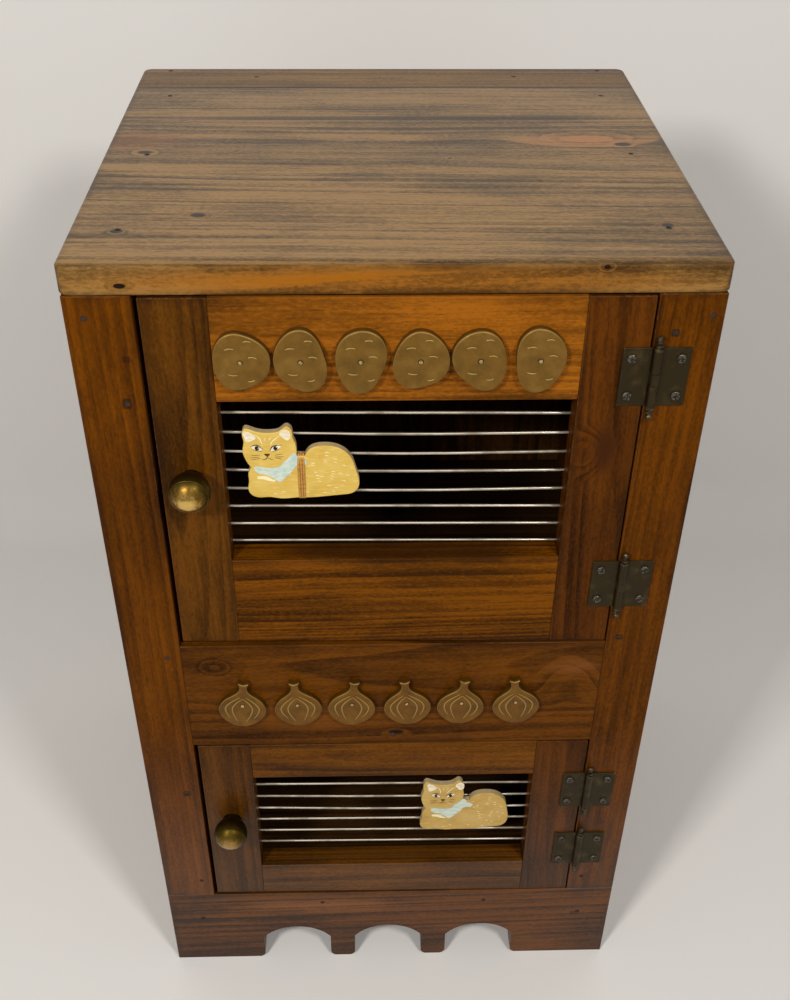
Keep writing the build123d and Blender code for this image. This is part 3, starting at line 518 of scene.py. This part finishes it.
stained_pine("upper_stile_left", "z", 41.3, "4F2D05", ring=5, pith=(28, 12), tilt=(1.5, 2.5))
stained_pine(
    "upper_stile_right", "z", 43.1, "4B2603", ring=7, pith=(40, -25), tilt=(2, 1),
    flames=[((128, front, 576), (20, 8, 26))], flushes=[(((138, front, 580), (12, 8, 30)), "3C1E08")],
)
stained_pine("upper_top_rail", "x", 45.7, "7D480C", ring=3, pith=(70, 30), tilt=(0.5, 0.5))
stained_pine("upper_bottom_rail", "x", 47.9, "5F3401", ring=3, pith=(60, 40), tilt=(1, 0), contrast=1.7,
             dirt_and_shade=[upper_ledge_dirt_and_shade])
stained_pine("lower_stile_left", "z", 51.7, "492904", ring=5, pith=(24, 10), tilt=(2, 1), varnish=low_varnish)
stained_pine("lower_stile_right", "z", 53.3, "492500", ring=6, pith=(35, -20), tilt=(1, 1),
             varnish=low_varnish)
stained_pine("lower_top_rail", "x", 55.1, "5D3400", ring=4, pith=(60, 10), tilt=(0.5, 0.5),
             varnish=low_varnish)
stained_pine("lower_bottom_rail", "x", 57.9, "563103", ring=4, pith=(60, 15), tilt=(0.5, 0.5),
             varnish=low_varnish, flushes=[(lower_ledge, "4E2E0A")])


# --- Wires ----------------------------------------------------------------------------------------
# Galvanised wires are let into the stiles of each door, and rise a little to the left. Some are
# slack and sag in the middle. The zinc is dull.
def bare_metal(name, bright, dull, roughness, metallic=1.0, patches=300.0, softness=0.15):
    """Worn metal that wanders between a bright and a dull colour."""
    material, tree, shader, place = new_finish(name)
    worn = cloud(tree, place, (patches,) * 3, 3.0)
    worn = eased(tree, worn, 0.5 - softness, 0.5 + softness)
    tree.links.new(mixed(tree, worn, colour(bright), colour(dull)), shader.inputs["Base Color"])
    tree.links.new(eased(tree, worn, 0.0, 1.0, roughness, roughness + 0.2), shader.inputs["Roughness"])
    shader.inputs["Metallic"].default_value = metallic
    return material


wire_zinc = bare_metal("galvanised_wire", "CEC4B4", "8A8070", 0.32, patches=45.0)
for name in ("upper_wires", "lower_wires"):
    dress(nodes[name], wire_zinc)


# --- Nails, brads, pins and screws ----------------------------------------------------------------
# Finishing nails hold the cabinet, their heads darkened by the stain. The hinges, catches and
# knobs are screwed on with steel screws.
dark_steel = bare_metal("dark_nail_steel", "33241A", "1A110A", 0.6, 0.2)
screw_steel = bare_metal("worn_screw_steel", "6A6458", "262018", 0.38, 0.85, 900.0)
dress(nodes["cabinet_nails"], dark_steel)
for name in ("frame_leaf_screws", "upper_leaf_screws", "lower_leaf_screws", "catch_screws",
             "upper_knob_screw", "lower_knob_screw"):
    dress(nodes[name], screw_steel)


# --- Hinges ---------------------------------------------------------------------------------------
# Pressed steel leaves plated in antique brass lie flat on the wood, each pair on a pin with turned
# ends. The plating has gone nearly black, and is rubbed brighter along the edges.
rub_reach = 0.0012


def rubbed_plate(name, box, bright, dull, roughness, metallic):
    """Plated metal, gone dark and rubbed bright along the edges of its box."""
    material, tree, shader, place = new_finish(name)
    low, high = box
    worn = cloud(tree, place, (90, 90, 90), 3.0)
    edge = placed(tree, board_edge, {"Vector": place, "Low": low, "High": high, "Reach": rub_reach})["Edge"]
    rubbed = maths(tree, "MULTIPLY", edge, eased(tree, worn, 0.3, 0.7, 0.2, 1.0))
    rubbed = maths(tree, "ADD", rubbed, eased(tree, worn, 0.50, 0.80, 0.0, 0.3), clamp=True)
    tree.links.new(mixed(tree, rubbed, colour(dull), colour(bright)), shader.inputs["Base Color"])
    tree.links.new(eased(tree, worn, 0.3, 0.7, roughness + 0.15, roughness), shader.inputs["Roughness"])
    shader.inputs["Metallic"].default_value = metallic
    bump = node(tree, "Bump", {"Strength": 0.2, "Distance": 0.0002, "Height": worn})
    tree.links.new(bump.outputs[0], shader.inputs["Normal"])
    return material


for number in (1, 2, 3, 4):
    for side in ("frame", "door"):
        leaf = f"hinge_{number}_{side}_leaf"
        plate = rubbed_plate(leaf + "_plate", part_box(leaf), "75603A", "30260F", 0.4, 0.75)
        dress(nodes[leaf], plate)
dress(nodes["hinge_pins"], bare_metal("hinge_pin_plate", "5E5038", "2A2218", 0.36, 0.8, 400.0))


# --- Knobs ----------------------------------------------------------------------------------------
# Turned brass knobs, screwed on from behind. The lacquer has worn off the middle, where the brass
# is handled, and the rest has gone a dark olive.
knob_radius = 0.0137
knob_tones = {
    "upper_knob": ("DDB868", "7C5C24", "483A16"),
    "lower_knob": ("AC8C52", "6A5222", "40330F"),
}


def aged_brass(name):
    """Brass kept bright in the middle by fingers, darker and greener towards the rim and above."""
    material, tree, shader, place = new_finish(name + "_brass")
    low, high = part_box(name)
    centre = (low + high) / 2
    handled = Vector((centre.x - 0.001, low.y, centre.z - 0.0025))
    away = vectors(tree, "SUBTRACT", place, handled)[0]
    away = vectors(tree, "MULTIPLY", away, (1, 0.45, 1))[0]
    away = maths(tree, "DIVIDE", vectors(tree, "LENGTH", away)["Value"], knob_radius)
    mottled = cloud(tree, place, (320, 320, 320), 4.0, 0.65)
    away = maths(tree, "MULTIPLY_ADD", maths(tree, "SUBTRACT", mottled, 0.5), 0.9, away)
    bright, dull, dark = [colour(code) for code in knob_tones[name]]
    tarnish = graded(tree, away, [(0.25, bright), (0.66, dull), (1.0, dark)])
    tree.links.new(tarnish, shader.inputs["Base Color"])
    tree.links.new(eased(tree, away, 0.2, 1.0, 0.2, 0.42), shader.inputs["Roughness"])
    shader.inputs["Metallic"].default_value = 1.0
    bump = node(tree, "Bump", {"Strength": 0.15, "Distance": 0.0003, "Height": mottled})
    tree.links.new(bump.outputs[0], shader.inputs["Normal"])
    return material


for name in ("upper_knob", "lower_knob"):
    dress(nodes[name], aged_brass(name))


# --- Catches --------------------------------------------------------------------------------------
# A moulded magnetic catch is screwed to the left post behind each door, and a thin steel strike
# with two prongs is driven into the back of the door.
catch_brown = bare_metal("catch_plastic", "4A3220", "3A2616", 0.5, 0.0)
strike_steel = bare_metal("strike_steel", "B4B0A8", "8C8880", 0.3)
for name in ("upper", "lower"):
    dress(nodes[f"{name}_catch"], catch_brown)
    dress(nodes[f"{name}_strike"], strike_steel)


# --- Ornaments ------------------------------------------------------------------------------------
# Potatoes and onions sawn from thin wood are painted old gold and held by a brad each. The eyes of
# the potatoes and the ribs of the onions are piped on in the same paint. A painted highlight makes
# the rounded front edges and the piped marks paler, and painted shade darkens the sides towards the door.
potato_xs = (-96.0, 89.0)
potato_z = 649.1
onion_xs = (-115.5, 94.5)
onion_z = 347.0
ornament_count = 6
ornament_front = -181.0
ornament_ease = 0.0009
pipe_radius = 0.75
potato_eyes = (
    ((-9, 9), (-6, 10.5), (-3.2, 9.4)), ((5, 3.5), (8, 4.6), (10.4, 2.8)),
    ((-8, -8), (-5, -9.4), (-2, -8.6)), ((2.6, 14.5), (5, 15.6), (7.6, 14.4)),
    ((4, -13), (6.4, -13.8), (8.6, -12.2)),
)
onion_ribs = (
    ((0, 8), (-6.8, 2), (-8.4, -7), (-3.4, -16.5)), ((0, 8), (6.8, 2), (8.4, -7), (3.4, -16.5)),
    ((-2, 9.5), (-11.6, 2.5), (-13.8, -6), (-9, -13)), ((2, 9.5), (11.6, 2.5), (13.8, -6), (9, -13)),
)
stroke_end = 0.55
highlight_gold = "9E854A"
onion_tilt = 5.0


def piped(name, strokes, radius):
    """Smooth round strokes that thin out towards their ends, as one curve."""
    curve = bpy.data.curves.new(name, "CURVE")
    curve.dimensions = "3D"
    curve.bevel_depth = radius
    curve.bevel_resolution = 2
    curve.resolution_u = 6
    curve.use_fill_caps = True
    for points in strokes:
        spline = curve.splines.new("NURBS")
        spline.points.add(len(points) - 1)
        last = len(points) - 1
        for number, (point, place) in enumerate(zip(spline.points, points)):
            point.co = (*place, 1.0)
            point.radius = stroke_end if number in (0, last) else 1.0
        spline.order_u = 3
        spline.use_endpoint_u = True
    return linked(name, curve)


def on_ornaments(marks, ends, z, tilt):
    """The same marks in millimetres on each ornament of a row, every second one leaning back."""
    found = []
    for number in range(ornament_count):
        x = ends[0] + (ends[1] - ends[0]) * number / (ornament_count - 1)
        lean = Matrix.Rotation(radians(tilt * (-1) ** number), 2)
        for mark in marks:
            turned = [lean @ Vector(point) for point in mark]
            found.append([((x + p.x) / 1000, ornament_front / 1000, (z + p.y) / 1000) for p in turned])
    return found


def old_gold(name, codes, brad_holes):
    """Gold paint in three shades, dark round the brads, with a painted highlight on the rounded front edges
    and piped marks, and painted shade down the sides.
    """
    material, tree, shader, place = new_finish(name)
    patch = cloud(tree, place, (90, 90, 90), 4.0, 0.6)
    brushed = cloud(tree, place, (260, 260, 900), 2.0)
    dark, plain, pale = [colour(code) for code in codes]
    shade = graded(tree, patch, [(0.3, dark), (0.5, plain), (0.75, pale)])
    shade = mixed(tree, spots(tree, place, brad_holes, 0.4), shade, colour(grime_and_shade_colour))
    behind = maths(tree, "SUBTRACT", node(tree, "SeparateXYZ", {0: place}).outputs[1], ornament_front / 1000)
    # A painted highlight on the rounded front edges of the cut-outs and on the piped marks that stand proud
    # of them.
    rim_highlight = eased(tree, behind, ornament_ease * 0.1, ornament_ease * 0.4)
    rim_highlight = maths(tree, "MULTIPLY", rim_highlight, eased(tree, behind, ornament_ease, ornament_ease * 1.4, 0.7, 0.0))
    proud = eased(tree, behind, -0.0004, -0.0002, 0.8, 0.0)
    shade = mixed(tree, maths(tree, "MAXIMUM", rim_highlight, proud), shade, colour(highlight_gold))
    # Painted shade down the sides of each cut-out, deepening towards the door.
    side = eased(tree, behind, ornament_ease * 1.2, ornament_ease * 3, 0.0, 0.5)
    shade = mixed(tree, side, shade, colour(grime_and_shade_colour))
    tree.links.new(shade, shader.inputs["Base Color"])
    tree.links.new(eased(tree, brushed, 0.3, 0.7, 0.36, 0.52), shader.inputs["Roughness"])
    shader.inputs["Metallic"].default_value = 0.35
    shader.inputs["Specular IOR Level"].default_value = 0.3
    bump = node(tree, "Bump", {"Strength": 0.3, "Distance": 0.0003, "Height": patch})
    tree.links.new(bump.outputs[0], shader.inputs["Normal"])
    return material


def ornament_marks(name, node_name, body, strokes, paint):
    """Piped marks in the paint of the ornaments that they stand on."""
    piece = piped(name, strokes, pipe_radius / 1000)
    for part in (nodes[node_name], piece):
        dress(part, paint)
    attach(piece, body)


brad_ring = (2.3, 3, 2.3)


def brad_holes(ends, z):
    """The dark ring round each brad of a row."""
    step = (ends[1] - ends[0]) / (ornament_count - 1)
    return [((ends[0] + step * number, ornament_front, z), brad_ring) for number in range(ornament_count)]


ornament_marks(
    "potato_eyes", "potato_ornaments", "upper_door", on_ornaments(potato_eyes, potato_xs, potato_z, 0),
    old_gold("potato_gold", ("624816", "745319", "82622A"), brad_holes(potato_xs, potato_z)),
)
# The onions' gold is darker than the potatoes', a painted shade on the lower row.
ornament_marks(
    "onion_ribs", "onion_ornaments", "cabinet", on_ornaments(onion_ribs, onion_xs, onion_z, -onion_tilt),
    old_gold("shaded_onion_gold", ("5A3A08", "6C4608", "785412"), brad_holes(onion_xs, onion_z)),
)
brad_brass = bare_metal("brad_brass", "D2BC84", "8A7240", 0.28, 0.9, 900.0)
for name in ("onion_brads", "potato_brads"):
    dress(nodes[name], brad_brass)


# --- Cats -----------------------------------------------------------------------------------------
# Two lying cats sawn from thin wood and painted by hand, each held on the wires by a magnet behind
# it. The scarf, the eyes and the fur are brushed on over a yellow ground.
cat_sizes = {"upper_cat": (1.0, 0.0), "lower_cat": (1.1, 0.07)}
# The lower cat's yellows are darker than the upper cat's, a painted shade.
cat_yellows_and_shade = {
    "upper_cat": ("DCBA5A", "D5B04A", "C9A03E", "EAD47E"),
    "lower_cat": ("C8A55A", "C09A48", "B38B3C", "D6BC74"),
}
sawn_wood = ("C4AE84", "9A8660")
paint_lift = 0.00012


def cat_wood(name):
    """Yellow brushed paint on the front, bare sawn wood round the edge and behind."""
    material, tree, shader, place = new_finish(name + "_paint")
    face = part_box(name)[0].y
    brushed = cloud(tree, place, (160, 200, 900), 3.0, 0.6)
    blotch = cloud(tree, place, (60, 60, 60), 2.0)
    pale, plain, deep, brushmarks = [colour(code) for code in cat_yellows_and_shade[name]]
    paint = graded(tree, blotch, [(0.3, pale), (0.55, plain), (0.75, deep)])
    paint = mixed(tree, eased(tree, brushed, 0.45, 0.75, 0.0, 0.5), paint, brushmarks)
    sawn = cloud(tree, place, (300, 60, 300), 3.0)
    sawn = mixed(tree, sawn, *[colour(code) for code in sawn_wood])
    depth = node(tree, "SeparateXYZ", {0: place}).outputs[1]
    behind = eased(tree, depth, face + 0.0007, face + 0.0011)
    tree.links.new(mixed(tree, behind, paint, sawn), shader.inputs["Base Color"])
    tree.links.new(eased(tree, behind, 0.0, 1.0, 0.42, 0.8), shader.inputs["Roughness"])
    bump = node(tree, "Bump", {"Strength": 0.3, "Distance": 0.0002, "Height": brushed})
    tree.links.new(bump.outputs[0], shader.inputs["Normal"])
    return material


def on_cat(name, point, lift=0.0):
    """A point in millimetres from the cat's lower left corner, on its painted front."""
    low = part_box(name)[0]
    stretch, lean = cat_sizes[name]
    up = point[1] * stretch / 1000
    return (low.x + point[0] / 1000 + lean * up, low.y - lift, low.z + up)


def paint_finish(name, codes, size=260.0):
    """Brushed craft paint that wanders between two colours."""
    material, tree, shader, place = new_finish(name)
    thin = eased(tree, cloud(tree, place, (size, size, size * 2), 3.0), 0.35, 0.7)
    tree.links.new(mixed(tree, thin, colour(codes[0]), colour(codes[1])), shader.inputs["Base Color"])
    tree.links.new(eased(tree, thin, 0.0, 1.0, 0.4, 0.6), shader.inputs["Roughness"])
    shader.inputs["Specular IOR Level"].default_value = 0.2
    return material


def painted_shapes(name, cat, outlines, material, lift=1):
    """Flat patches of paint with smooth outlines, a hair proud of the cat's front."""
    curve = bpy.data.curves.new(name, "CURVE")
    curve.dimensions = "2D"
    curve.fill_mode = "BOTH"
    curve.resolution_u = 6
    curve.extrude = paint_lift * lift
    for outline in outlines:
        spline = curve.splines.new("BEZIER")
        spline.bezier_points.add(len(outline) - 1)
        for knot, point in zip(spline.bezier_points, outline):
            x, _, z = on_cat(cat, point)
            knot.co = (x, z, 0)
            knot.handle_left_type = knot.handle_right_type = "AUTO"
        spline.use_cyclic_u = True
    flat = bpy.data.objects.new(name + "_outline", curve)
    mesh = bpy.data.meshes.new_from_object(flat)
    bpy.data.objects.remove(flat)
    face = on_cat(cat, (0, 0))[1]
    mesh.transform(Matrix.Translation((0, face, 0)) @ Matrix.Rotation(pi / 2, 4, "X"))
    bm = bmesh.new()
    bm.from_mesh(mesh)
    bmesh.ops.remove_doubles(bm, verts=bm.verts, dist=1e-6)
    bmesh.ops.recalc_face_normals(bm, faces=bm.faces)
    bm.to_mesh(mesh)
    bm.free()
    piece = linked(name, mesh)
    dress(piece, material)
    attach(piece, cat)


def painted_strokes(name, cat, strokes, width, material, proud=0.2):
    """Brush strokes with fine ends, that stand a little proud of the cat's front."""
    lines = [[on_cat(cat, point, proud / 1000 - width / 2000) for point in stroke] for stroke in strokes]
    piece = piped(name, lines, width / 2000)
    dress(piece, material)
    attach(piece, cat)


scarf = (
    (7.1, 26.2), (10.1, 21.3), (14.3, 20.2), (17.8, 18.3), (20.7, 16), (23.6, 14.4), (25.5, 15.6),
    (28.1, 18.9), (30.6, 21.1), (32.7, 24), (34.6, 27.2), (38, 27.8), (41.1, 28.4), (41.6, 31.3),
    (37.6, 32.6), (34, 37.2), (32.5, 36.5), (28.7, 32.2), (26.2, 30), (24.3, 27.1), (20.6, 26),
    (16.4, 25.7), (11.6, 26.5),
)
ears = (
    ((1.4, 54.6), (2.0, 50.5), (3.4, 46.8), (6.4, 47.6), (9.4, 50.2), (7.2, 52.8), (4.0, 54.8)),
    ((24.8, 52.6), (28.6, 56.2), (30.8, 55.6), (32.2, 51.0), (31.4, 48.8), (29.2, 48.0), (26.8, 50.2)),
)
eye_whites = (
    ((6.2, 43.0), (8.6, 44.2), (11.2, 43.4), (13.3, 40.8), (12.7, 39.6), (10.0, 39.6), (7.4, 40.9)),
    ((18.6, 39.9), (19.3, 42.2), (21.5, 43.6), (25.3, 43.7), (24.2, 41.4), (22, 39.7)),
)
eye_rims = (
    ((5.8, 43.2), (8.6, 44.5), (11.3, 43.6), (13.6, 40.6)),
    ((18.3, 39.7), (19.2, 42.4), (21.5, 43.9), (25.8, 44.0)),
    ((7.2, 40.8), (10.0, 39.4), (13.0, 39.4)),
    ((19.6, 39.4), (22.2, 39.5), (24.5, 41.4)),
)
pupils = (
    ((8.3, 42.2), (9.7, 43.5), (11.0, 42.0), (10.5, 40.4), (9.0, 40.5)),
    ((20.5, 42.1), (21.9, 43.3), (23.2, 42.2), (22.6, 40.6), (21.2, 40.4)),
)
glints = (
    ((10.2, 41.9), (10.5, 42.2), (10.8, 41.9), (10.5, 41.6)),
    ((22.3, 42.9), (22.6, 43.1), (22.9, 42.8), (22.6, 42.5)),
)
nose = (
    ((14.3, 36.9), (16.1, 37.3), (17.9, 36.8), (17.2, 35.7), (16.2, 35), (15, 35.8)),
)
mouth = (
    ((16.2, 35.4), (16.2, 34.1), (14.8, 32.6), (12.6, 32.6)),
    ((16.2, 34.4), (17.8, 32.7), (20, 32.5)),
)
whiskers = (
    ((5.4, 35.7), (8.4, 36.1), (11.6, 35.6)),
    ((4.9, 33.9), (8, 34.6), (10.9, 34.4)),
    ((5.7, 32.4), (8.8, 33.4), (11.5, 33.4)),
    ((21.1, 35.9), (23.9, 36.8), (26.6, 36.9)),
    ((20.8, 34.4), (24, 34.9), (27.1, 34.7)),
    ((21.6, 33.7), (23.7, 33.5), (25.8, 32.9)),
)
brows = (
    ((8.5, 52.8), (11.3, 50.3), (12.9, 46.8), (13.5, 43.2)),
    ((25.2, 51.3), (21.8, 48.8), (19.3, 46), (18.3, 43.1)),
    ((14.9, 50.3), (15.5, 48.7), (15.6, 47.1)),
    ((19.6, 51), (18.4, 49.2), (17.6, 47.4)),
)
cream = (
    ((8.4, 18), (11.8, 19.1), (16, 18.3), (18.6, 16.4), (20.6, 15.2), (17.6, 14.9), (12.9, 16.4)),
)
fur = (
    (55.5, 38.1), (55.4, 35.5), (60.8, 32.6), (54.5, 31.9), (46.3, 29.4), (45.9, 27.6), (54.4, 30.4),
    (61, 30), (66.7, 27.4), (59.6, 22.3), (59.3, 20.4), (58.6, 18.6), (58.3, 16.3), (66.7, 14.7),
    (25.7, 6.1), (41.5, 5.9), (38.7, 32.4), (43.6, 27), (49, 19.4), (51.6, 18.4), (49.5, 16.6),
    (50.2, 14.4), (56.4, 10.8), (61.3, 9), (53.4, 5), (59.4, 6.2), (41.7, 33.6), (47.6, 22),
    (64.2, 21), (69, 19.4), (20.1, 4.4),
)
fur = [((x - 1.2, z + 0.2), (x, z), (x + 1.2, z - 0.3)) for x, z in fur]

scarf_paint = paint_finish("scarf_paint", ("D6DCCC", "B2CCC4"))
white_paint = paint_finish("white_paint", ("F4EAD2", "E2D2AC"))
dark_paint = paint_finish("dark_paint", ("150C06", "24160A"))
brown_paint = paint_finish("brown_paint", ("5E3E1A", "4A2E12"))
cream_paint = paint_finish("cream_paint", ("F8ECC0", "F2E2A8"))
for cat in ("upper_cat", "lower_cat"):
    dress(nodes[cat], cat_wood(cat))
    painted_shapes(cat + "_scarf", cat, (scarf,), scarf_paint)
    painted_shapes(cat + "_ears", cat, ears, white_paint)
    painted_shapes(cat + "_cream", cat, cream, cream_paint)
    painted_shapes(cat + "_eyes", cat, eye_whites, white_paint)
    painted_shapes(cat + "_pupils", cat, pupils, dark_paint, lift=2)
    painted_shapes(cat + "_glints", cat, glints, white_paint, lift=3)
    painted_shapes(cat + "_nose", cat, nose, brown_paint)
    painted_strokes(cat + "_eye_rims", cat, eye_rims, 0.8, dark_paint, proud=0.34)
    painted_strokes(cat + "_mouth", cat, mouth, 0.7, dark_paint)
    painted_strokes(cat + "_whiskers", cat, whiskers, 0.6, brown_paint)
    painted_strokes(cat + "_brows", cat, brows, 1.0, cream_paint)
    painted_strokes(cat + "_fur", cat, fur, 0.7, cream_paint)


# --- Cat magnets and rubber band ------------------------------------------------------------------
# A ferrite magnet is glued to the back of each cat. A tan rubber band goes three times round the
# waist of the upper cat.
ferrite = bare_metal("ferrite", "2E2C2A", "1C1B1A", 0.6, 0.0)
for name in ("upper_cat_magnet", "lower_cat_magnet"):
    dress(nodes[name], ferrite)

band_strands = 3


def rubber_band():
    """Three round strands side by side along the node's loop, with rounded corners."""
    low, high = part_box("cat_rubber_band")
    radius = (high.x - low.x) / band_strands / 2
    curve = bpy.data.curves.new("rubber_band_strands", "CURVE")
    curve.dimensions = "3D"
    curve.bevel_depth = radius * 0.98
    curve.bevel_resolution = 3
    for number in range(band_strands):
        x = low.x + radius * (2 * number + 1)
        y0, y1, z0, z1 = low.y + radius, high.y - radius, low.z + radius, high.z - radius
        spline = curve.splines.new("NURBS")
        corners = [(y0, z0), (y0, (z0 + z1) / 2), (y0, z1), (y1, z1), (y1, (z0 + z1) / 2), (y1, z0)]
        spline.points.add(len(corners) - 1)
        for point, (y, z) in zip(spline.points, corners):
            point.co = (x, y, z, 1.0)
        spline.order_u = 3
        spline.use_cyclic_u = True
    return linked("rubber_band_strands", curve)


band = rubber_band()
dress(band, paint_finish("tan_rubber", ("C4924A", "A87434"), 400.0))
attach(band, "upper_cat")
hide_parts("cat_rubber_band")
dress(nodes["cat_rubber_band"], band.data.materials[0])
